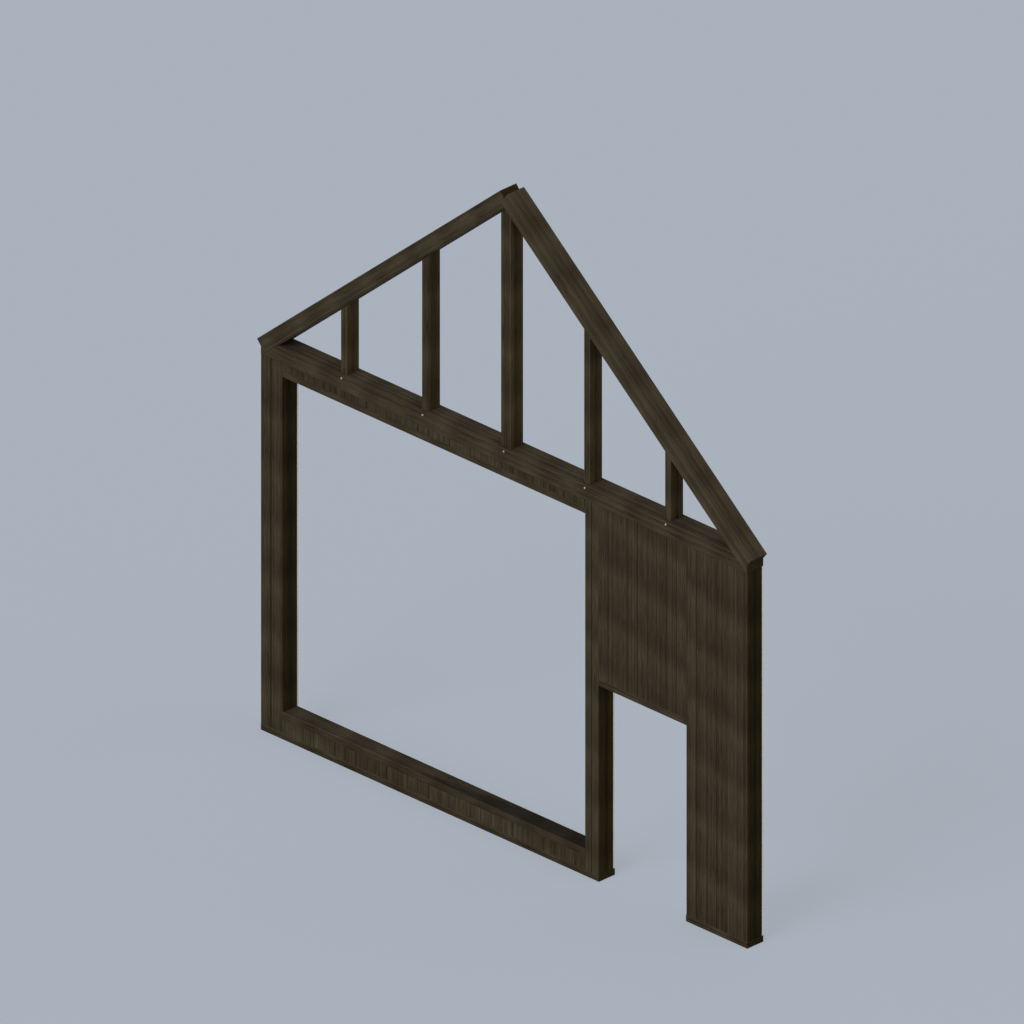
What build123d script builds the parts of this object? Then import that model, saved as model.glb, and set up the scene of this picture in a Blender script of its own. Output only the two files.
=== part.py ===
"""Timber frame gable wall: posts, rails and boards under a tie plate and a rafter pair.

The wall stands on two sole plates. X runs along the wall, Y from its front to its
back and Z up. The origin is on the floor, halfway along the wall and halfway
through its depth. All sizes are in millimetres.
"""
from build123d import *
import os
from math import cos, radians, tan

# Whole wall
wall_depth = 200
roof_pitch = 40

# Sawn sections
sole_height = 64
sole_nosing = 5
plate_height = 150
rafter_height = 150
stud_width = 75
king_width = 125
stud_depth = 150
rail_height = 64
back_rail_height = 75

# Posts, from the left end to the right
corner_width = 125
bay_post_width = 139
jamb_width = 82
door_post_width = 125

# Openings, and the boarded fields beside, below and above them
bay_width = 3736
bay_height = 3279
door_width = 1086
door_head = 1917
leg_width = 500
sill_board_height = 136
header_board_height = 68
stud_spacing = 1000

# Boards and lining
board_width = 127
board_thickness = 25
board_gap = 1
board_groove = 1
tongue_length = 8
tongue_thickness = 7
tongue_clearance = 1
lining_thickness = 16
lining_gap = 2
lining_drop = 12

# Joints
tenon_thickness = 50
tenon_shoulder = 10
sole_tenon = 40
plate_tenon = 45
stud_tenon = 60
rafter_tenon = 40
rail_tenon = 30
tenon_fit = 0.3
mortise_spare = 2
peg_diameter = 16
peg_drop = 32
peg_proud = 10
peg_tail = 25
peg_fit = 0.2

# Eased edges
arris = 2
peg_chamfer = 2

# Places along the wall: its length is what stands in it, from the left end to the right.
wall_length = (
    corner_width
    + bay_post_width
    + bay_width
    + 2 * jamb_width
    + door_width
    + door_post_width
    + leg_width
    + corner_width
)
wall_left = -wall_length / 2
wall_right = wall_length / 2
bay_left = wall_left + corner_width + bay_post_width
bay_right = bay_left + bay_width
door_left = bay_right + 2 * jamb_width
door_right = door_left + door_width
leg_left = door_right + door_post_width
leg_right = leg_left + leg_width

# Places through the depth
front = -wall_depth / 2
back = wall_depth / 2
board_back = front + board_thickness
lining_front = back - lining_thickness
frame_middle = (board_back + lining_front) / 2

# Heights
bay_sill_bottom = sole_height + sill_board_height
bay_sill = bay_sill_bottom + rail_height
bay_head = bay_sill + bay_height
bay_head_top = bay_head + rail_height
plate_bottom = bay_head_top + header_board_height
plate_top = plate_bottom + plate_height
plate_middle = (plate_bottom + plate_top) / 2
door_head_top = door_head + rail_height
panel_middle = (door_head_top + plate_bottom) / 2

# Roof slope
slope = tan(radians(roof_pitch))
rafter_length = wall_length / 2 / cos(radians(roof_pitch))
rafter_drop = rafter_height / 2 / cos(radians(roof_pitch))

os.makedirs("parts", exist_ok=True)


def save(part, name):
    """Label one finished piece and write it."""
    part.label = name
    export_step(part, f"parts/{name}.step")


def underside(x):
    """Height of the rafters' lower faces at a place along the wall."""
    return plate_middle + (wall_length / 2 - abs(x)) * slope - rafter_drop


def block(x0, x1, y0, y1, z0, z1, mode=Mode.ADD):
    """Add or cut a square-edged block in the part being made."""
    with BuildSketch(Plane.XY.offset(z0)) as plan:
        with Locations(((x0 + x1) / 2, (y0 + y1) / 2)):
            Rectangle(x1 - x0, y1 - y0)
    extrude(plan.sketch, amount=z1 - z0, mode=mode)


def timber_along(x0, x1, y0, y1, z0, z1, edge):
    """Lay a sawn timber along the wall, its four long edges eased."""
    with BuildSketch(Plane.YZ.offset(x0)) as section:
        with Locations(((y0 + y1) / 2, (z0 + z1) / 2)):
            Rectangle(y1 - y0, z1 - z0)
        chamfer(section.vertices(), edge)
    extrude(section.sketch, amount=x1 - x0)


def timber_up(x0, x1, y0, y1, z0, z1, edge):
    """Stand a sawn timber upright, its four long edges eased."""
    with BuildSketch(Plane.XY.offset(z0)) as section:
        with Locations(((x0 + x1) / 2, (y0 + y1) / 2)):
            Rectangle(x1 - x0, y1 - y0)
        chamfer(section.vertices(), edge)
    extrude(section.sketch, amount=z1 - z0)


def rafter_block(side, y0, y1, mode=Mode.ADD, edge=0):
    """Add or cut one square-ended rafter; side is -1 on the left and 1 on the right."""
    foot = Vector(side * wall_length / 2, 0, plate_middle)
    ridge = Vector(0, 0, plate_middle + wall_length / 2 * slope)
    across = Plane(origin=foot, x_dir=(0, 1, 0), z_dir=ridge - foot)
    with BuildSketch(across) as section:
        with Locations(((y0 + y1) / 2, 0)):
            Rectangle(y1 - y0, rafter_height)
        if edge:
            chamfer(section.vertices(), edge)
    extrude(section.sketch, amount=rafter_length, mode=mode)


def under_rafters(x, width, bottom, lift, thickness, mode=Mode.ADD):
    """Add or cut an upright whose top follows the rafters' lower faces, raised by lift."""
    left = x - width / 2
    right = x + width / 2
    tops = [(right, underside(right) + lift)]
    if left < 0 < right:
        tops.append((0, underside(0) + lift))
    tops.append((left, underside(left) + lift))
    with BuildSketch(Plane.XZ.offset(thickness / 2)) as elevation:
        with BuildLine():
            Polyline((left, bottom), (right, bottom), *tops, close=True)
        make_face()
    extrude(elevation.sketch, amount=-thickness, mode=mode)


# Horizontal members between posts: left end, right end, front face, underside, top.
rails = {
    "bay_sill_rail": (bay_left, bay_right, front, bay_sill_bottom, bay_sill),
    "sill_beam": (bay_left, bay_right, board_back, sole_height, bay_sill_bottom),
    "bay_head_rail": (bay_left, bay_right, front, bay_head, bay_head_top),
    "header_beam": (bay_left, bay_right, board_back, bay_head_top, plate_bottom),
    "door_head_rail": (door_left, door_right, front, door_head, door_head_top),
}
back_rails = {
    "panel_rail": (door_left, door_right, panel_middle),
    "leg_rail_lower": (leg_left, leg_right, door_head + rail_height / 2),
    "leg_rail_upper": (leg_left, leg_right, panel_middle),
}
for name, (x0, x1, middle) in back_rails.items():
    low = middle - back_rail_height / 2
    rails[name] = (x0, x1, board_back, low, low + back_rail_height)

# Posts: left side and right side.
posts = {
    "corner_post_left": (wall_left, wall_left + corner_width),
    "bay_post_left": (wall_left + corner_width, bay_left),
    "bay_post_right": (bay_right, bay_right + jamb_width),
    "door_post_left": (bay_right + jamb_width, door_left),
    "door_post_right": (door_right, leg_left),
    "corner_post_right": (leg_right, wall_right),
}

# Post tenons stand behind the middle of the wall, clear of the rafter feet in front.
post_tenon_front = tenon_shoulder
post_tenon_back = post_tenon_front + tenon_thickness

# Studs and the king post: place along the wall and width.
uprights = {
    "stud_1": (-2 * stud_spacing, stud_width),
    "stud_2": (-stud_spacing, stud_width),
    "king_post": (0, king_width),
    "stud_3": (stud_spacing, stud_width),
    "stud_4": (2 * stud_spacing, stud_width),
}


def post_mortise(x0, x1, z0, z1):
    """Cut the mortise of one post tenon in a plate."""
    block(
        x0 + tenon_shoulder - tenon_fit,
        x1 - tenon_shoulder + tenon_fit,
        post_tenon_front - tenon_fit,
        post_tenon_back + tenon_fit,
        z0,
        z1,
        Mode.SUBTRACT,
    )


def sole_plate(name, x0, x1):
    """Sole plate under the posts that stand between its ends."""
    with BuildPart() as plate:
        timber_along(x0, x1, front, back, 0, sole_height, arris)
        for post_left, post_right in posts.values():
            if x0 <= post_left and post_right <= x1:
                depth = sole_tenon + mortise_spare
                post_mortise(post_left, post_right, sole_height - depth, sole_height)
    save(plate.part, name)


sole_plate("sole_plate_left", wall_left, door_left + sole_nosing)
sole_plate("sole_plate_right", door_right - sole_nosing, wall_right)


def post(name, x0, x1):
    """Full-height post with a tenon at each end and a mortise for each rail end."""
    with BuildPart() as upright:
        timber_up(x0, x1, front, lining_front, sole_height, plate_bottom, arris)
        block(
            x0 + tenon_shoulder,
            x1 - tenon_shoulder,
            post_tenon_front,
            post_tenon_back,
            sole_height - sole_tenon,
            plate_bottom + plate_tenon,
        )
        for rail_left, rail_right, _, low, high in rails.values():
            reach = rail_tenon + mortise_spare
            if rail_left == x1:
                span = (x1 - reach, x1)
            elif rail_right == x0:
                span = (x0, x0 + reach)
            else:
                continue
            block(
                *span,
                frame_middle - tenon_thickness / 2 - tenon_fit,
                frame_middle + tenon_thickness / 2 + tenon_fit,
                low + tenon_shoulder - tenon_fit,
                high - tenon_shoulder + tenon_fit,
                Mode.SUBTRACT,
            )
    save(upright.part, name)


for name, (x0, x1) in posts.items():
    post(name, x0, x1)


def rail(name, x0, x1, y0, low, high):
    """Horizontal member with a stub tenon at each end."""
    with BuildPart() as beam:
        timber_along(x0, x1, y0, lining_front, low, high, arris)
        block(
            x0 - rail_tenon,
            x1 + rail_tenon,
            frame_middle - tenon_thickness / 2,
            frame_middle + tenon_thickness / 2,
            low + tenon_shoulder,
            high - tenon_shoulder,
        )
    save(beam.part, name)


for name, (x0, x1, y0, low, high) in rails.items():
    rail(name, x0, x1, y0, low, high)


# Tie plate, housed for the rafter feet, mortised for posts below and studs above
with BuildPart() as top_plate:
    timber_along(wall_left, wall_right, front, back, plate_bottom, plate_top, arris)
    for side in (-1, 1):
        rafter_block(side, front, 0, Mode.SUBTRACT)
    for x0, x1 in posts.values():
        post_mortise(x0, x1, plate_bottom, plate_bottom + plate_tenon + mortise_spare)
    for x, width in uprights.values():
        block(
            x - width / 2 - tenon_fit,
            x + width / 2 + tenon_fit,
            -tenon_thickness / 2 - tenon_fit,
            tenon_thickness / 2 + tenon_fit,
            plate_top - stud_tenon - mortise_spare,
            plate_top,
            Mode.SUBTRACT,
        )
        peg_reach = wall_depth / 2 + tenon_thickness / 2 + peg_tail + mortise_spare
        with BuildSketch(Plane.XZ.offset(-front)):
            with Locations((x, plate_top - peg_drop)):
                Circle(peg_diameter / 2 + peg_fit)
        extrude(amount=-peg_reach, mode=Mode.SUBTRACT)
save(top_plate.part, "top_plate")


def rafter(name, side):
    """Rafter halved over the tie plate and at the ridge, mortised for its uprights."""
    with BuildPart() as sloping:
        rafter_block(side, front, back, edge=arris)
        # The foot laps over the front half of the tie plate.
        block(wall_left, wall_right, 0, back, plate_bottom, plate_top, Mode.SUBTRACT)
        # At the ridge the right rafter keeps the front half and the left one the back.
        if side < 0:
            rafter_block(-side, front, 0, Mode.SUBTRACT)
        else:
            rafter_block(-side, 0, back, Mode.SUBTRACT)
        for x, width in uprights.values():
            if x * side >= 0:
                under_rafters(
                    x,
                    width + 2 * tenon_fit,
                    plate_top,
                    rafter_tenon + mortise_spare,
                    tenon_thickness + 2 * tenon_fit,
                    Mode.SUBTRACT,
                )
    save(sloping.part, name)


rafter("rafter_left", -1)
rafter("rafter_right", 1)


def upright_piece(name, x, width):
    """Gable stud or king post: pegged foot tenon, head cut to the rafters with a tenon."""
    with BuildPart() as stud:
        timber_up(
            x - width / 2,
            x + width / 2,
            -stud_depth / 2,
            stud_depth / 2,
            plate_top,
            underside(0),
            arris,
        )
        under_rafters(x, width, plate_top, 0, stud_depth, Mode.INTERSECT)
        under_rafters(x, width, plate_top - stud_tenon, rafter_tenon, tenon_thickness)
        with BuildSketch(Plane.XZ.offset(stud_depth / 2)):
            with Locations((x, plate_top - peg_drop)):
                Circle(peg_diameter / 2 + peg_fit)
        extrude(amount=-stud_depth, mode=Mode.SUBTRACT)
    save(stud.part, name)


for name, (x, width) in uprights.items():
    upright_piece(name, x, width)


def peg(name, x):
    """Round peg through the tie plate's front cheek and the tenon, with a proud head."""
    with BuildPart() as pin:
        with BuildSketch(Plane.XZ.offset(-front + peg_proud)):
            with Locations((x, plate_top - peg_drop)):
                Circle(peg_diameter / 2)
        extrude(amount=-(peg_proud + wall_depth / 2 + tenon_thickness / 2 + peg_tail))
        chamfer(pin.edges().group_by(Axis.Y)[0], peg_chamfer)
        chamfer(pin.edges().group_by(Axis.Y)[-1], peg_chamfer)
    save(pin.part, name)


for number, (x, _) in enumerate(uprights.values(), start=1):
    peg(f"peg_{number}", x)


def board(x0, x1, low, high, grooved, tongued):
    """Add one board: V-edged front, groove in its left edge, tongue on its right edge."""
    left = x0 + (board_gap / 2 if grooved else 0)
    right = x1 - (board_gap / 2 if tongued else 0)
    middle = (front + board_back) / 2
    with BuildSketch(Plane.XY.offset(low)) as plan:
        with Locations(((left + right) / 2, middle)):
            Rectangle(right - left, board_thickness)
        chamfer(plan.vertices().group_by(Axis.Y)[0], board_groove)
        if grooved:
            deep = tongue_length + tongue_clearance - board_gap
            with Locations((left + deep / 2, middle)):
                Rectangle(deep, tongue_thickness + tongue_clearance, mode=Mode.SUBTRACT)
        if tongued:
            with Locations((right + tongue_length / 2, middle)):
                Rectangle(tongue_length, tongue_thickness)
    extrude(plan.sketch, amount=high - low)


def boards(name, x0, x1, low, high):
    """Field of upright tongued boards of even width, near the board width, between posts."""
    count = max(1, round((x1 - x0) / board_width))
    pitch = (x1 - x0) / count
    with BuildPart() as field:
        for number in range(count):
            left = x0 + number * pitch
            board(left, left + pitch, low, high, number > 0, number < count - 1)
    save(field.part, name)


boards("boards_header", bay_left, bay_right, bay_head_top, plate_bottom)
boards("boards_sill", bay_left, bay_right, sole_height, bay_sill_bottom)
boards("boards_over_door", door_left, door_right, door_head_top, plate_bottom)
boards("boards_leg", leg_left, leg_right, sole_height, plate_bottom)


def lining(name, x0, x1, low, high):
    """Sheet of the pale back lining, with an open joint to the next sheet."""
    left = x0 + (lining_gap / 2 if x0 > wall_left else 0)
    right = x1 - (lining_gap / 2 if x1 < wall_right else 0)
    with BuildPart() as sheet:
        block(left, right, lining_front, back, low, high)
    save(sheet.part, name)


lining("lining_left", wall_left, bay_left, sole_height, plate_bottom)
lining("lining_sill", bay_left, bay_right, sole_height, bay_sill - lining_drop)
lining("lining_head", bay_left, bay_right, bay_head, plate_bottom)
lining("lining_middle", bay_right, door_left, sole_height, plate_bottom)
lining("lining_over_door", door_left, door_right, door_head, plate_bottom)
lining("lining_right", door_right, wall_right, sole_height, plate_bottom)
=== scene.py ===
"""Looks of the timber frame gable wall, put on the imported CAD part.

Lengths are in metres, in the CAD part's own frame: X along the wall, Y from its boarded
front to its lined back, Z up, the origin on the floor halfway along.
"""

import math
from types import SimpleNamespace

import bpy
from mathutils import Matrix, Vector


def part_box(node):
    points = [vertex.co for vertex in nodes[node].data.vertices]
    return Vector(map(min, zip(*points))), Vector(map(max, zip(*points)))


# The photograph's view: a parallel projection, 8.935 m across the picture
VIEW_AZIMUTH = 45.0
VIEW_ELEVATION = 26.8
VIEW_WIDTH = 8.935
VIEW_TARGET = (-0.0005, -0.0005, 3.1636)
VIEW_DISTANCE = 22.0
VIEW_END = 200.0

# Plain level of the light: the front of the wall gets one unit of it in all.
SKY_LEVEL = 0.40
KEY_LEVEL = 2.14
KEY_FROM = (0.0, -0.85, 0.52)
KEY_ANGLE = 40.0
FILL_LEVEL = 0.61
FILL_FROM = (0.68, 0.30, 0.67)
FILL_ANGLE = 60.0

# The floor: the light that reaches it, the share that the camera sees as even, and its reach
FLOOR_LIT = 0.85
FLOOR_CALM = 0.78
FLOOR_REACH = 45.0

# Direction of the grain, in degrees from the level
UPRIGHT = 90.0
LEVEL = 0.0
ROOF_PITCH = 40.0

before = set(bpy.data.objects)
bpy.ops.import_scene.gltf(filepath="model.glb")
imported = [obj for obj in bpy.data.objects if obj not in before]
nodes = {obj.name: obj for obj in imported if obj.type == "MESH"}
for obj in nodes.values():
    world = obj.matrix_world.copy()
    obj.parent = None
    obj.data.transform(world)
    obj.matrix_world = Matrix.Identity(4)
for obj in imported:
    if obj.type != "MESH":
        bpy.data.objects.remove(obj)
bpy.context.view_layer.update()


def linear(red, green, blue):
    """Scene colour of a picture colour given as 0 to 255, by the sRGB curve."""
    parts = []
    for value in (red, green, blue):
        share = value / 255
        low = share <= 0.04045
        parts.append(share / 12.92 if low else ((share + 0.055) / 1.055) ** 2.4)
    return (*parts, 1.0)


WHITE = (1.0, 1.0, 1.0, 1.0)
BACKGROUND = linear(169, 177, 188)

# Brightness of the stain, 0 to 255: at its middle, in dirt, in pores, and its range on plain wood
STAIN_MIDDLE = 48.0
STAIN_DIRT = 18.0
STAIN_PORE = 20.0
STAIN_DARKEST = 34.0
STAIN_PALEST = 66.0
STAIN_STEPS = 4

# The stain's red, green and blue: offset from its brightness, and growth as that rises
STAIN_TINTS = ((7.1, 0.02), (-2.0, 0.0), (-14.0, -0.15))


def stain(level):
    """Scene colour of the brown stain at a picture brightness of 18 to 66: paler is yellower."""
    paler = level - STAIN_MIDDLE
    return linear(*(level + offset + trend * paler for offset, trend in STAIN_TINTS))


class Graph:
    """The shader nodes of a material or a world, and short calls that add to them."""

    def __init__(self, owner):
        owner.use_nodes = True
        self.owner = owner
        self.tree = owner.node_tree
        self.tree.nodes.clear()

    def add(self, kind, inputs=(), **settings):
        """A new node, with its settings and with a value or a link for each named input."""
        node = self.tree.nodes.new(kind)
        for key, value in settings.items():
            setattr(node, key, value)
        for key, value in dict(inputs).items():
            self.put(value, node.inputs[key])
        return node

    def put(self, value, socket):
        """Link an output to the input socket, or set the socket to a plain value."""
        if isinstance(value, bpy.types.NodeSocket):
            self.tree.links.new(value, socket)
        else:
            socket.default_value = value

    def math(self, operation, first, second=0.0, third=0.0):
        inputs = {0: first, 1: second, 2: third}
        return self.add("ShaderNodeMath", inputs, operation=operation).outputs[0]

    def sway(self, value, part, share, middle=0.5):
        """The value moved by a share of how far a part lies from its middle."""
        return self.math("MULTIPLY_ADD", self.math("SUBTRACT", part, middle), share, value)

    def vector(self, operation, first, second):
        inputs = {0: first, 1: second}
        return self.add("ShaderNodeVectorMath", inputs, operation=operation).outputs[0]

    def split(self, vector):
        return self.add("ShaderNodeSeparateXYZ", {0: vector}).outputs

    def join(self, x, y, z):
        return self.add("ShaderNodeCombineXYZ", {0: x, 1: y, 2: z}).outputs[0]

    def turned(self, vector, angle):
        """The vector turned in the plane of the wall."""
        inputs = {"Vector": vector, "Angle": angle}
        node = self.add("ShaderNodeVectorRotate", inputs, rotation_type="Y_AXIS")
        return node.outputs[0]

    def noise(self, place, waves, detail=2.0, roughness=0.5, distortion=0.0, shift=None):
        """Smooth noise with so many waves a metre along X, Y and Z."""
        if shift:
            place = self.vector("ADD", place, shift)
        inputs = {
            "Vector": self.vector("MULTIPLY", place, waves),
            "Scale": 1.0,
            "Detail": detail,
            "Roughness": roughness,
            "Distortion": distortion,
        }
        return self.add("ShaderNodeTexNoise", inputs).outputs["Fac"]

    def draw(self, number, shift):
        """A random value and colour for each whole number."""
        inputs = {"W": self.math("ADD", number, shift)}
        return self.add("ShaderNodeTexWhiteNoise", inputs, noise_dimensions="1D").outputs

    def span(self, value, low, high, start=0.0, end=1.0, smooth=False):
        """Start up to low, end from high on, and what lies between them in between."""
        inputs = {0: value, 1: low, 2: high, 3: start, 4: end}
        kind = "SMOOTHSTEP" if smooth else "LINEAR"
        return self.add("ShaderNodeMapRange", inputs, interpolation_type=kind).outputs[0]

    def mix(self, share, first, second, blend="MIX"):
        inputs = {0: share, 6: first, 7: second}
        node = self.add("ShaderNodeMix", inputs, data_type="RGBA", blend_type=blend)
        return node.outputs[2]

    def tint(self, colour, by):
        """The colour times another."""
        return self.mix(1.0, colour, by, "MULTIPLY")

    def ramp(self, value, stops):
        node = self.add("ShaderNodeValToRGB", {0: value})
        band = node.color_ramp.elements
        while len(band) < len(stops):
            band.new(0.5)
        for element, (position, colour) in zip(band, stops):
            element.position = position
            element.color = colour
        return node.outputs[0]

    def finish(self, colour, roughness, height, strength, distance, gloss):
        """The finished material, with its relief as a bump of so many metres."""
        inputs = {"Height": height, "Strength": strength, "Distance": distance}
        bump = self.add("ShaderNodeBump", inputs).outputs[0]
        inputs = {
            "Base Color": colour,
            "Roughness": roughness,
            "Normal": bump,
            "Specular IOR Level": gloss,
        }
        shader = self.add("ShaderNodeBsdfPrincipled", inputs).outputs[0]
        self.add("ShaderNodeOutputMaterial", {0: shader})
        return self.owner


# Patterns of the stained timber: waves a metre across the grain, in both directions, and along it
CLOUDS = dict(waves=(2.0, 2.0, 5.0), detail=1.5, roughness=0.45)
GREENNESS = dict(waves=(4.0, 4.0, 2.6), shift=(31.0, 7.0, 13.0))
SLOW = dict(waves=(0.6, 0.6, 0.35), detail=1.0)
LONG_STREAKS = dict(waves=(58.0, 58.0, 0.12), detail=1.0)
SHORT_STREAKS = dict(waves=(80.0, 80.0, 6.0), detail=1.0, shift=(5.0, 9.0, 3.0))
FIBRES = dict(waves=(280.0, 280.0, 7.0))
PORES = dict(waves=(850.0, 850.0, 24.0), detail=1.0)
CHECKS = dict(waves=(95.0, 95.0, 4.5), shift=(1.0, 4.0, 8.0))
FLECKS = dict(waves=(120.0, 120.0, 5.0), shift=(7.0, 2.0, 6.0))
RING_WANDER = dict(waves=(5.0, 5.0, 0.9))
RING_TURNS = 900.0

# Where a pattern or a direction starts to show, and where it shows in full
RING_RANGE = (0.20, 1.00)
CHECK_RANGE = (0.61, 0.71)
FLECK_RANGE = (0.66, 0.76)
PORE_RANGE = (0.60, 0.70)
GREEN_RANGE = (0.30, 0.68)
SIDE_RANGE = (0.80, 0.95)
TOP_RANGE = (0.85, 0.95)
END_RANGE = (0.75, 0.85)
ARRIS_RANGE = (0.25, 0.40)

# The stain's value, 0 darkest and 1 palest: plain, and what each part of the figure adds to it
PLAIN_VALUE = 0.425
LONG_SHARE = 1.08
SHORT_SHARE = 0.70
SLOW_SHARE = 0.12
FIBRE_SHARE = 0.45
BOARD_SHARE = 0.07
RING_SHARE = -0.10
RING_MEAN = 0.25
CHECK_SHARE = -0.30
FLECK_SHARE = 0.20
BAND_SHARE = 0.133
CLOUD_SHARE = 0.15

# Weather bands: pitch, climb for each metre along a field of boards, wander, and lean to one side
BAND_PITCH = 0.54
BAND_SLANT = 0.20
BAND_WANDER = 0.04
BAND_LEAN = 0.25

# Tints that multiply the stain's colour, and how far weather and pores change it
GREENER = (0.945, 1.01, 0.96, 1.0)
GREYER = (0.99, 1.02, 1.09, 1.0)
SOAKED = (0.58, 0.53, 0.34, 1.0)
# Tint of the painted shadow on the sill top
PAINTED_SHADOW_TINT = (0.46, 0.46, 0.50, 1.0)
WEATHER_GREEN = -0.15
PORE_DARKNESS = 0.35

# Steps between the patterns of one seed and the next, and how far apart boards are drawn
SEED_STEPS = (3.17, 1.91, 7.43)
BOARD_SEED = 11.3
JOINT_SEED = 5.7
BOARD_SPREAD = (9.0, 9.0, 9.0)

# An upright's face, 0 at its middle and 1 at its edges: where its shades meet; then its sides'
# value, part of their painted shading
FACE_MIDDLE = 0.20
FACE_EDGE = 0.95
SIDE_SHADE = 0.05

# Painted shade on an upright's sides, by depth from the wall's middle: where it changes, and how
# pale it is
CORE_REACH = (0.005, 0.045)
CORE_LIGHT = (0.76, 1.06)
BACK_REACH = (0.045, 0.085)
BACK_LIGHT = (1.0, 0.82)
# How far the painted highlight by the front arris reaches back
RIM_REACH = (0.006, 0.036)

# Rubbing of the eased edges: where the clouds let it show, and its share
RUB_RANGE = (0.35, 0.65)
RUB_SHARE = (0.0, 0.3)

# Dirt in joints: of boards, its reach in board widths and its share; of uprights, where it fades
BOARD_JOINT_REACH = (0.01, 0.11)
BOARD_JOINT_DIRT = (0.05, 0.5)
JOINT_START = 0.003

# A shake: half width and where that has faded, wander, and how open the slow pattern leaves it
SHAKE_WIDTH = (0.002, 0.009)
SHAKE_WANDER = 0.03
SHAKE_RANGE = (0.40, 0.55)
SHAKE_OPEN = (0.15, 0.60)

# Painted shadow on the sill top: its edge at mid-depth, that edge's run for each metre of depth,
# softness, raggedness
SHADOW_EDGE_START = -0.55
SHADOW_EDGE_SLOPE = 7.3
SHADOW_EDGE_SOFTNESS = (-0.2, 0.25)
SHADOW_EDGE_RAGGED = 0.8

# Surface of the stained timber: roughness where the figure is dark and pale, and its relief
TIMBER_ROUGH = (0.90, 0.72)
TIMBER_ROUGH_RANGE = (1.1, 1.9)
STREAK_RELIEF = 0.5
FIBRE_RELIEF = 0.5
RING_RELIEF = 0.12
PORE_RELIEF = -0.25
CHECK_RELIEF = -0.6


def place_on(g, seed, tilt):
    """Place and direction on a piece, also turned so that its grain runs along Z."""
    coordinates = g.add("ShaderNodeTexCoord").outputs
    angle = math.radians(tilt - UPRIGHT)
    turned = g.turned(coordinates["Object"], angle)
    along_wall, depth, height = g.split(coordinates["Object"])
    return SimpleNamespace(
        along_wall=along_wall,
        depth=depth,
        height=height,
        up=g.span(g.split(coordinates["Normal"])[2], *TOP_RANGE),
        facing=g.split(g.turned(coordinates["Normal"], angle)),
        turned=turned,
        grain=g.vector("ADD", turned, tuple(seed * step for step in SEED_STEPS)),
    )


def board_draw(g, along_wall, field, seed):
    """Count of the boards along a field, and for each board a tone and a shift of its figure."""
    start, pitch = field
    count = g.math("DIVIDE", g.math("SUBTRACT", along_wall, start), pitch)
    drawn = g.draw(g.math("FLOOR", count), seed * BOARD_SEED)
    shift = g.vector("MULTIPLY", drawn["Color"], BOARD_SPREAD)
    return SimpleNamespace(count=count, tone=drawn["Value"], shift=shift)


def weather_bands(g, place, dark, slanted):
    """Soft bands that weather has left across the grain at an even pitch, and its clouds."""
    clouds = g.noise(place.turned, **CLOUDS)
    _, _, run = g.split(place.turned)
    run = g.math("SUBTRACT", run, dark + BAND_WANDER / 2)
    run = g.math("MULTIPLY_ADD", clouds, BAND_WANDER, run)
    if slanted:
        run = g.math("MULTIPLY_ADD", place.along_wall, BAND_SLANT, run)
    phase = g.math("MULTIPLY", run, 2.0 * math.pi / BAND_PITCH)
    lean = g.math("SINE", g.math("MULTIPLY", phase, 2.0))
    wave = g.math("MULTIPLY", g.math("COSINE", phase), -1.0)
    band = g.math("MULTIPLY_ADD", lean, BAND_LEAN, wave)
    bands = g.math("MULTIPLY_ADD", band, BAND_SHARE, g.math("MULTIPLY", clouds, CLOUD_SHARE))
    return bands, clouds


def year_rings(g, grain):
    """Year rings round a heart that lies outside the piece."""
    across, deep, _ = g.split(grain)
    inputs = {0: g.join(across, deep, 0.0)}
    radius = g.add("ShaderNodeVectorMath", inputs, operation="LENGTH").outputs["Value"]
    radius = g.math("ADD", radius, g.noise(grain, **RING_WANDER))
    wave = g.math("SINE", g.math("MULTIPLY", radius, RING_TURNS))
    return g.span(wave, *RING_RANGE, smooth=True)


def finer(pattern, fine):
    """A pattern with so many times the waves across the grain."""
    across, deep, along = pattern["waves"]
    return dict(pattern, waves=(across * fine, deep * fine, along))


def wood_figure(g, grain, fine):
    """Streaks along the grain, rings, and fibres, pores, checks and flecks for a close view."""
    return SimpleNamespace(
        slow=g.noise(grain, **SLOW),
        long_streaks=g.noise(grain, **finer(LONG_STREAKS, fine)),
        short_streaks=g.noise(grain, **finer(SHORT_STREAKS, fine)),
        fibres=g.noise(grain, **FIBRES),
        pores=g.span(g.noise(grain, **PORES), *PORE_RANGE),
        checks=g.span(g.noise(grain, **CHECKS), *CHECK_RANGE),
        flecks=g.span(g.noise(grain, **FLECKS), *FLECK_RANGE),
        rings=year_rings(g, grain),
    )


def stain_value(g, plain, figure, bands, board):
    """How pale the stain is, from 0 to 1."""
    value = g.sway(plain, figure.long_streaks, LONG_SHARE)
    value = g.sway(value, figure.short_streaks, SHORT_SHARE)
    value = g.math("ADD", value, bands)
    value = g.sway(value, figure.slow, SLOW_SHARE)
    value = g.sway(value, figure.fibres, FIBRE_SHARE)
    if board:
        value = g.sway(value, board.tone, BOARD_SHARE)
    value = g.sway(value, figure.rings, RING_SHARE, RING_MEAN)
    value = g.math("MULTIPLY_ADD", figure.checks, CHECK_SHARE, value)
    return g.math("MULTIPLY_ADD", figure.flecks, FLECK_SHARE, value)


def uneven_face(g, place, post, side):
    """How much paler an upright is at its left edge, middle and right edge, and on its sides as
    part of their painted shading.
    """
    off = g.math("DIVIDE", g.math("SUBTRACT", place.along_wall, post.middle), post.half_width)
    left, centre, right = post.shade
    shade = g.span(off, -FACE_EDGE, -FACE_MIDDLE, left - centre, 0.0, smooth=True)
    to_right = g.span(off, FACE_MIDDLE, FACE_EDGE, centre, right, smooth=True)
    shade = g.math("ADD", shade, to_right)
    return g.math("MULTIPLY_ADD", side, g.math("SUBTRACT", SIDE_SHADE, shade), shade)


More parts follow.
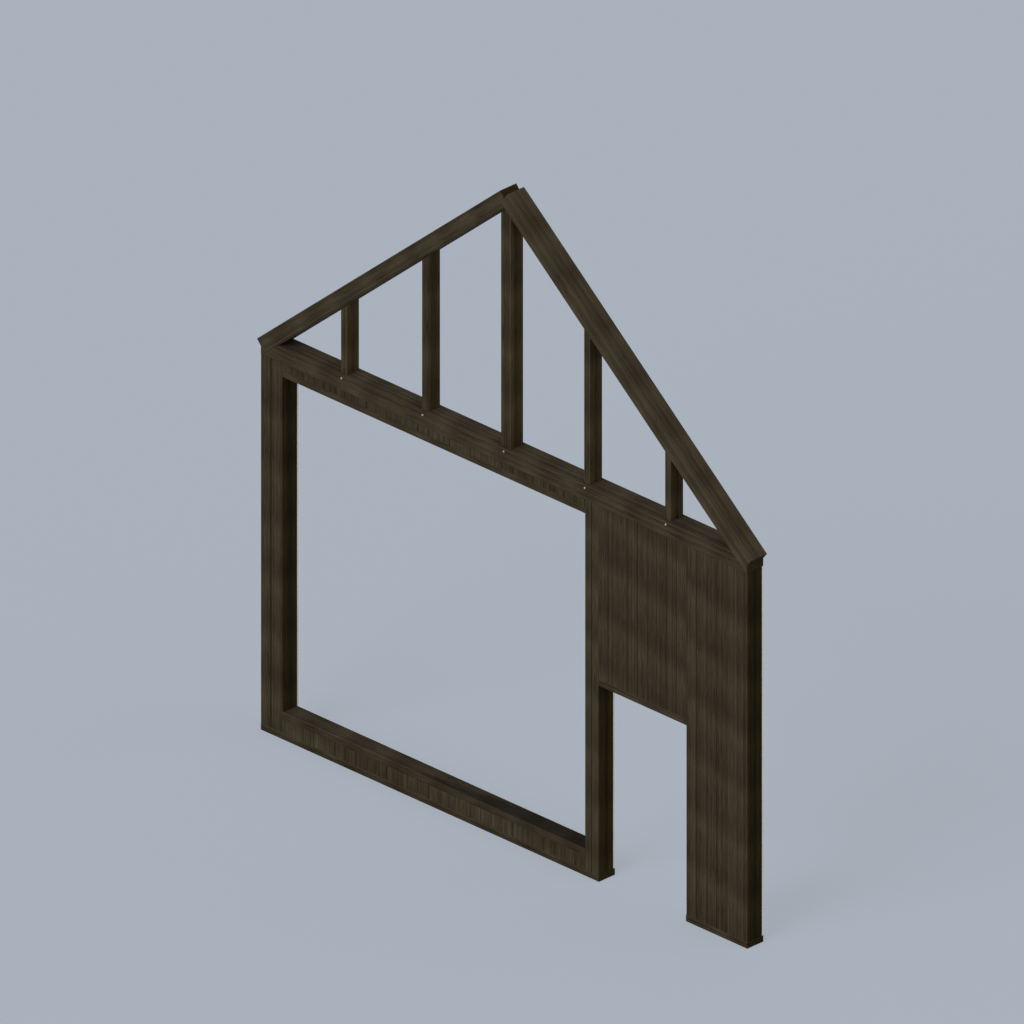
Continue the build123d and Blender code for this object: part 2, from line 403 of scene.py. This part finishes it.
def stain_colour(g, value, place, bands, pores):
    """Colour of the stain by its value, greener in places, darkest in the pores and a little
    greyer on the level tops."""
    rise = STAIN_PALEST - STAIN_DARKEST
    shares = [step / STAIN_STEPS for step in range(STAIN_STEPS + 1)]
    colour = g.ramp(value, [(share, stain(STAIN_DARKEST + rise * share)) for share in shares])
    greenness = g.math("MULTIPLY_ADD", bands, WEATHER_GREEN, g.noise(place.turned, **GREENNESS))
    colour = g.mix(g.span(greenness, *GREEN_RANGE), colour, g.tint(colour, GREENER))
    colour = g.mix(g.math("MULTIPLY", pores, PORE_DARKNESS), colour, stain(STAIN_PORE))
    return g.mix(place.up, colour, g.tint(colour, GREYER))


def painted_side_shading(g, colour, place, post):
    """Colour of an upright's sides with painted shade: darkest at mid-depth, darker towards the
    back, and with a painted highlight by the front arris.
    """
    core = g.span(g.math("ABSOLUTE", place.depth), *CORE_REACH, *CORE_LIGHT, smooth=True)
    start, end = (post.front + reach for reach in RIM_REACH)
    rim = g.span(place.depth, start, end, post.rim, 0.0, smooth=True)
    fall = g.span(place.depth, *BACK_REACH, *BACK_LIGHT)
    light = g.math("MULTIPLY", g.math("ADD", core, rim), fall)
    return g.tint(g.tint(colour, post.tint), g.join(light, light, light))


def worn_ends(g, colour, place, clouds):
    """End grain drinks more stain, and the eased edges are rubbed paler in places."""
    across, deep, along = (g.math("ABSOLUTE", part) for part in place.facing)
    colour = g.mix(g.span(along, *END_RANGE), colour, g.tint(colour, SOAKED))
    arris = g.span(g.math("MULTIPLY", across, deep), *ARRIS_RANGE)
    rubbed = g.math("MULTIPLY", arris, g.span(clouds, *RUB_RANGE, *RUB_SHARE))
    return g.mix(rubbed, colour, stain(STAIN_PALEST))


def board_dirt(g, count, seed):
    """Dirt in the joints of a field of boards, more in some than in others."""
    off = g.math("ABSOLUTE", g.math("SUBTRACT", g.math("FRACT", count), 0.5))
    drawn = g.draw(g.math("ROUND", count), seed * JOINT_SEED)
    share = g.span(drawn["Value"], 0.0, 1.0, *BOARD_JOINT_DIRT)
    near = g.span(g.math("SUBTRACT", 0.5, off), *BOARD_JOINT_REACH, 1.0, 0.0, smooth=True)
    return g.math("MULTIPLY", share, near)


def joint_dirt(g, dirt, along_wall, joint):
    """The dirt, with more of it beside one joint between uprights."""
    place, share, reach = joint
    gap = g.math("ABSOLUTE", g.math("SUBTRACT", along_wall, place))
    return g.math("MAXIMUM", dirt, g.span(gap, JOINT_START, reach, share, 0.0, smooth=True))


def shake_dirt(g, height, clouds, slow, place):
    """Dirt in a long shake at about the given height, open in some places only."""
    wobble = g.sway(height, clouds, SHAKE_WANDER)
    gap = g.math("ABSOLUTE", g.math("SUBTRACT", place.height, wobble))
    opened = g.span(slow, *SHAKE_RANGE, *SHAKE_OPEN)
    return g.math("MULTIPLY", opened, g.span(gap, *SHAKE_WIDTH, 1.0, 0.0))


def painted_shadow_wedge(g, colour, place, short_streaks):
    """The colour with a painted shadow on the level top, a wedge towards the right and the front.
    """
    edge = g.math("MULTIPLY_ADD", place.depth, SHADOW_EDGE_SLOPE, SHADOW_EDGE_START)
    edge = g.sway(edge, short_streaks, SHADOW_EDGE_RAGGED)
    past = g.math("SUBTRACT", place.along_wall, edge)
    shadowed = g.span(past, *SHADOW_EDGE_SOFTNESS, 0.0, 1.0, smooth=True)
    return g.mix(g.math("MULTIPLY", shadowed, place.up), colour, g.tint(colour, PAINTED_SHADOW_TINT))


def timber_surface(g, colour, figure):
    """The finished timber: matt, raised along streaks and rings, sunk in pores and checks."""
    streaks = g.math("ADD", figure.long_streaks, figure.short_streaks)
    pale = g.math("ADD", streaks, figure.fibres)
    roughness = g.span(pale, *TIMBER_ROUGH_RANGE, *TIMBER_ROUGH)
    relief = g.math("MULTIPLY", figure.fibres, FIBRE_RELIEF)
    relief = g.math("MULTIPLY_ADD", streaks, STREAK_RELIEF, relief)
    relief = g.math("MULTIPLY_ADD", figure.rings, RING_RELIEF, relief)
    relief = g.math("MULTIPLY_ADD", figure.pores, PORE_RELIEF, relief)
    relief = g.math("MULTIPLY_ADD", figure.checks, CHECK_RELIEF, relief)
    return g.finish(colour, roughness, relief, strength=0.5, distance=0.003, gloss=0.05)


def stained_timber(
    name, seed, tilt=UPRIGHT, field=None, post=None, joints=(),
    tone=0.0, dark=0.2, fine=1.0, shake=None, painted_shadow=False,
):
    """Dark stained, weathered timber whose grain runs at tilt degrees from the level.

    field gives the left edge and the pitch of boards, post what is an upright's own, joints
    the places along the wall where dirt gathers, dark the place of a dark weather band along
    the grain, fine how fine the streaks are across it, and shake the height of a long shake.
    """
    g = Graph(bpy.data.materials.new(name))
    place = place_on(g, seed, tilt)
    grain = place.grain
    board = None
    if field:
        board = board_draw(g, place.along_wall, field, seed)
        grain = g.vector("ADD", grain, board.shift)
    bands, clouds = weather_bands(g, place, dark, slanted=bool(field))
    figure = wood_figure(g, grain, fine)
    value = stain_value(g, PLAIN_VALUE + tone, figure, bands, board)
    if post:
        side = g.span(g.math("ABSOLUTE", place.facing[0]), *SIDE_RANGE)
        value = g.math("ADD", value, uneven_face(g, place, post, side))
    colour = stain_colour(g, value, place, bands, figure.pores)
    # Painted shade on an upright's sides, with a painted highlight by the front arris
    if post:
        colour = g.mix(side, colour, painted_side_shading(g, colour, place, post))
    colour = worn_ends(g, colour, place, clouds)

    dirt = board_dirt(g, board.count, seed) if board else 0.0
    for joint in joints:
        dirt = joint_dirt(g, dirt, place.along_wall, joint)
    if shake:
        dirt = g.math("MAXIMUM", dirt, shake_dirt(g, shake, clouds, figure.slow, place))
    colour = g.mix(dirt, colour, stain(STAIN_DIRT))
    # A painted shadow on the sill top, a wedge towards the right
    if painted_shadow:
        colour = painted_shadow_wedge(g, colour, place, figure.short_streaks)
    return timber_surface(g, colour, figure)


# Patterns, colours and roughness of the pale lining board and of the pegs
LINING_BANDS = dict(waves=(7.0, 7.0, 0.8), detail=3.0, roughness=0.55, distortion=0.6)
LINING_FIBRES = dict(waves=(240.0, 240.0, 9.0))
LINING_MARKS = dict(waves=(2.2, 2.2, 2.6), detail=4.0, roughness=0.6)
LINING_SEED_STEPS = (2.3, 5.1, 3.7)
LINING_STOPS = (
    (0.2, linear(196, 188, 165)),
    (0.5, linear(216, 211, 192)),
    (0.8, linear(228, 224, 208)),
)
LINING_FIBRE_SHARE = 0.5
LINING_MARK_COLOUR = linear(164, 160, 146)
LINING_MARK_RANGE = (0.52, 0.78)
LINING_MARK_SHARE = (0.0, 0.35)
LINING_ROUGH = (0.82, 0.68)
PEG_GRAIN = dict(waves=(420.0, 30.0, 420.0), detail=3.0)
PEG_TONE = dict(waves=(3.0, 3.0, 3.0), detail=1.0)
PEG_STOPS = (
    (0.25, linear(158, 147, 129)),
    (0.5, linear(177, 167, 150)),
    (0.75, linear(192, 184, 169)),
)
PEG_TONE_SHARE = 0.3
PEG_ROUGH = (0.7, 0.5)
FIGURE_RANGE = (0.3, 0.7)


def pale_board(name, seed, tilt):
    """Bare pale board of the back lining, with faint figure along it and handling marks."""
    g = Graph(bpy.data.materials.new(name))
    here = g.add("ShaderNodeTexCoord").outputs["Object"]
    here = g.turned(here, math.radians(tilt - UPRIGHT))
    here = g.vector("ADD", here, tuple(seed * step for step in LINING_SEED_STEPS))
    bands = g.noise(here, **LINING_BANDS)
    fibres = g.noise(here, **LINING_FIBRES)
    marks = g.noise(here, **LINING_MARKS)
    marks = g.span(marks, *LINING_MARK_RANGE, *LINING_MARK_SHARE, smooth=True)
    colour = g.ramp(g.sway(bands, fibres, LINING_FIBRE_SHARE), LINING_STOPS)
    colour = g.mix(marks, colour, LINING_MARK_COLOUR)
    roughness = g.span(bands, *FIGURE_RANGE, *LINING_ROUGH)
    height = g.math("ADD", g.math("MULTIPLY", fibres, 0.5), bands)
    return g.finish(colour, roughness, height, strength=0.25, distance=0.002, gloss=0.35)


def peg_wood(name):
    """Pale cleft hardwood of the pegs, whose grain runs from front to back."""
    g = Graph(bpy.data.materials.new(name))
    here = g.add("ShaderNodeTexCoord").outputs["Object"]
    grain = g.noise(here, **PEG_GRAIN)
    tone = g.noise(here, **PEG_TONE)
    colour = g.ramp(g.sway(grain, tone, PEG_TONE_SHARE), PEG_STOPS)
    roughness = g.span(grain, *FIGURE_RANGE, *PEG_ROUGH)
    return g.finish(colour, roughness, grain, strength=0.3, distance=0.001, gloss=0.4)


def dress(name, material):
    """Give a CAD piece its finish."""
    for slot in nodes[name].material_slots:
        slot.material = material


def ends(name):
    """Left and right side of a node, along the wall."""
    low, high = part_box(name)
    return low[0], high[0]


def upright(name, sides, dark, shade, tone=0.0, joints=()):
    """Finish of a post or stud; shade is how pale its left edge, middle and right edge are."""
    low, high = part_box(name)
    tint, rim = sides
    post = SimpleNamespace(
        middle=(low[0] + high[0]) / 2,
        half_width=(high[0] - low[0]) / 2,
        front=low[1],
        shade=shade,
        tint=tint,
        rim=rim,
    )
    return {name: dict(post=post, dark=dark, tone=tone, joints=joints)}


def boarding(name, dark, fine=1.0, tone=0.0):
    """Finish of a field of boards of even width."""
    left, right = ends(name)
    count = max(1, round((right - left) / BOARD_WIDTH))
    return {name: dict(field=(left, (right - left) / count), dark=dark, fine=fine, tone=tone)}


# Painted shading on the sides of posts and studs: its tint, and how much paler it starts in front
# as a painted highlight
POST_SIDE_SHADING = ((0.55, 0.475, 0.235, 1.0), 0.25)
END_SIDE_SHADING = ((0.46, 0.42, 0.19, 1.0), 0.55)
STUD_SIDE_SHADING = ((1.09, 0.985, 0.70, 1.0), 0.15)

# Joint between two posts, or a post and boards: place, share of dirt and reach
JOINT_LEFT = (ends("corner_post_left")[1], 0.60, 0.022)
JOINT_MIDDLE = (ends("door_post_left")[0], 0.60, 0.013)
JOINT_DOOR = (ends("door_post_right")[1], 0.60, 0.014)
JOINT_RIGHT = (ends("corner_post_right")[0], 0.25, 0.010)

# Width of a board, streaks across the short boards, heights of the long shakes, and steps of tone
BOARD_WIDTH = 0.127
SHORT_BOARDS_FINE = 0.6
SOLE_SHAKE = 0.033
PLATE_SHAKE = 3.797
PALER = 0.06
SEED_STEP = 0.61

# Finish of each piece: dark is the place of a dark weather band, tone how much paler it is
sole_plates = {
    "sole_plate_left": dict(tilt=LEVEL, dark=0.32, shake=SOLE_SHAKE, tone=0.07),
    "sole_plate_right": dict(tilt=LEVEL, dark=0.20, shake=SOLE_SHAKE, tone=0.03),
}
posts = {
    **upright("corner_post_left", POST_SIDE_SHADING, 0.05, (-0.10, -0.02, -0.08), 0.0, [JOINT_LEFT]),
    **upright("bay_post_left", POST_SIDE_SHADING, 0.04, (0.03, -0.01, -0.24), 0.0, [JOINT_LEFT]),
    **upright("bay_post_right", POST_SIDE_SHADING, 0.34, (0.05, 0.04, 0.14), 0.0, [JOINT_MIDDLE]),
    **upright("door_post_left", POST_SIDE_SHADING, 0.31, (0.0, 0.07, -0.14), 0.12, [JOINT_MIDDLE]),
    **upright("door_post_right", POST_SIDE_SHADING, 0.18, (-0.16, 0.03, -0.02), PALER, [JOINT_DOOR]),
    **upright("corner_post_right", END_SIDE_SHADING, 0.05, (0.0, -0.10, -0.06), 0.0, [JOINT_RIGHT]),
}
rails = {
    # Its top gets a painted shadow towards the right
    "bay_sill_rail": dict(tilt=LEVEL, dark=0.32, painted_shadow=True, tone=-0.02),
    "bay_head_rail": dict(tilt=LEVEL, dark=0.31, tone=PALER),
    "door_head_rail": dict(tilt=LEVEL),
    "sill_beam": dict(tilt=LEVEL),
    "header_beam": dict(tilt=LEVEL),
    "panel_rail": dict(tilt=LEVEL),
    "leg_rail_lower": dict(tilt=LEVEL),
    "leg_rail_upper": dict(tilt=LEVEL),
}
roof_timbers = {
    "top_plate": dict(tilt=LEVEL, dark=0.01, shake=PLATE_SHAKE, tone=0.09),
    "rafter_left": dict(tilt=ROOF_PITCH, dark=0.43, tone=PALER),
    "rafter_right": dict(tilt=180.0 - ROOF_PITCH, dark=0.47, tone=0.11),
}
gable_uprights = {
    **upright("king_post", STUD_SIDE_SHADING, 0.12, (0.13, -0.10, 0.10)),
    **upright("stud_1", STUD_SIDE_SHADING, 0.42, (0.05, -0.05, 0.05), 0.07),
    **upright("stud_2", STUD_SIDE_SHADING, 0.28, (0.17, -0.04, -0.12)),
    **upright("stud_3", STUD_SIDE_SHADING, 0.28, (0.05, -0.03, 0.04), 0.05),
    **upright("stud_4", STUD_SIDE_SHADING, 0.40, (0.05, -0.05, 0.03), 0.04),
}
boards = {
    **boarding("boards_header", 0.0, SHORT_BOARDS_FINE, 0.02),
    **boarding("boards_sill", 0.35, SHORT_BOARDS_FINE, 0.06),
    **boarding("boards_over_door", 0.29),
    **boarding("boards_leg", 0.10),
}
finishes = {**sole_plates, **posts, **rails, **roof_timbers, **gable_uprights, **boards}
for number, (piece, look) in enumerate(finishes.items(), start=1):
    dress(piece, stained_timber("timber_" + piece, SEED_STEP * number, **look))

linings = dict(
    left=UPRIGHT, sill=LEVEL, head=LEVEL, middle=UPRIGHT, over_door=UPRIGHT, right=UPRIGHT
)
for number, (piece, tilt) in enumerate(linings.items(), start=1):
    dress("lining_" + piece, pale_board("lining_" + piece, float(number), tilt))

peg_finish = peg_wood("peg_wood")
for piece in nodes:
    if piece.startswith("peg_"):
        dress(piece, peg_finish)


def make_floor():
    """Plain pale floor that runs out of every picture and keeps the wall's soft shadow."""
    reach = FLOOR_REACH
    corners = [(-reach, -reach, 0), (reach, -reach, 0), (reach, reach, 0), (-reach, reach, 0)]
    mesh = bpy.data.meshes.new("floor")
    mesh.from_pydata(corners, [], [(0, 1, 2, 3)])
    floor = bpy.data.objects.new("floor", mesh)
    bpy.context.scene.collection.objects.link(floor)
    g = Graph(bpy.data.materials.new("floor_paint"))
    lit = [min(1.0, part / FLOOR_LIT) for part in BACKGROUND[:3]]
    paint = g.add("ShaderNodeBsdfDiffuse", {"Color": (*lit, 1.0)}).outputs[0]
    calm = g.add("ShaderNodeEmission", {"Color": BACKGROUND, "Strength": 1.0}).outputs[0]
    seen = g.add("ShaderNodeLightPath").outputs["Is Camera Ray"]
    inputs = {0: g.math("MULTIPLY", seen, FLOOR_CALM), 1: paint, 2: calm}
    blend = g.add("ShaderNodeMixShader", inputs).outputs[0]
    g.add("ShaderNodeOutputMaterial", {0: blend})
    mesh.materials.append(g.owner)


def make_sky():
    """Even white light from all round, behind a backdrop of the photograph's colour."""
    world = bpy.data.worlds.new("studio")
    g = Graph(world)
    path = g.add("ShaderNodeLightPath").outputs
    seen = g.math("MAXIMUM", path["Is Camera Ray"], path["Is Glossy Ray"])
    seen = g.math("MAXIMUM", seen, path["Is Transmission Ray"])
    inputs = {"Color": WHITE, "Strength": SKY_LEVEL}
    light = g.add("ShaderNodeBackground", inputs).outputs[0]
    backdrop = g.add("ShaderNodeBackground", {"Color": BACKGROUND}).outputs[0]
    blend = g.add("ShaderNodeMixShader", {0: seen, 1: light, 2: backdrop}).outputs[0]
    g.add("ShaderNodeOutputWorld", {0: blend})
    bpy.context.scene.world = world


def make_lamp(name, level, towards, angle):
    """Broad, even lamp far away in the given direction."""
    data = bpy.data.lights.new(name, "SUN")
    data.energy = level
    data.angle = math.radians(angle)
    lamp = bpy.data.objects.new(name, data)
    lamp.rotation_mode = "QUATERNION"
    lamp.rotation_quaternion = (-Vector(towards)).to_track_quat("-Z", "Y")
    bpy.context.scene.collection.objects.link(lamp)


def make_camera():
    """Parallel camera at the photograph's angle and scale."""
    azimuth = math.radians(VIEW_AZIMUTH)
    elevation = math.radians(VIEW_ELEVATION)
    level = math.cos(elevation)
    back = Vector(
        (math.sin(azimuth) * level, -math.cos(azimuth) * level, math.sin(elevation))
    )
    data = bpy.data.cameras.new("camera")
    data.type = "ORTHO"
    data.ortho_scale = VIEW_WIDTH
    data.clip_end = VIEW_END
    camera = bpy.data.objects.new("camera", data)
    camera.location = Vector(VIEW_TARGET) + back * VIEW_DISTANCE
    camera.rotation_mode = "QUATERNION"
    camera.rotation_quaternion = (-back).to_track_quat("-Z", "Y")
    bpy.context.scene.collection.objects.link(camera)
    bpy.context.scene.camera = camera


make_floor()
make_sky()
make_lamp("key", KEY_LEVEL, KEY_FROM, KEY_ANGLE)
make_lamp("fill", FILL_LEVEL, FILL_FROM, FILL_ANGLE)
make_camera()
bpy.context.scene.view_settings.view_transform = "Standard"
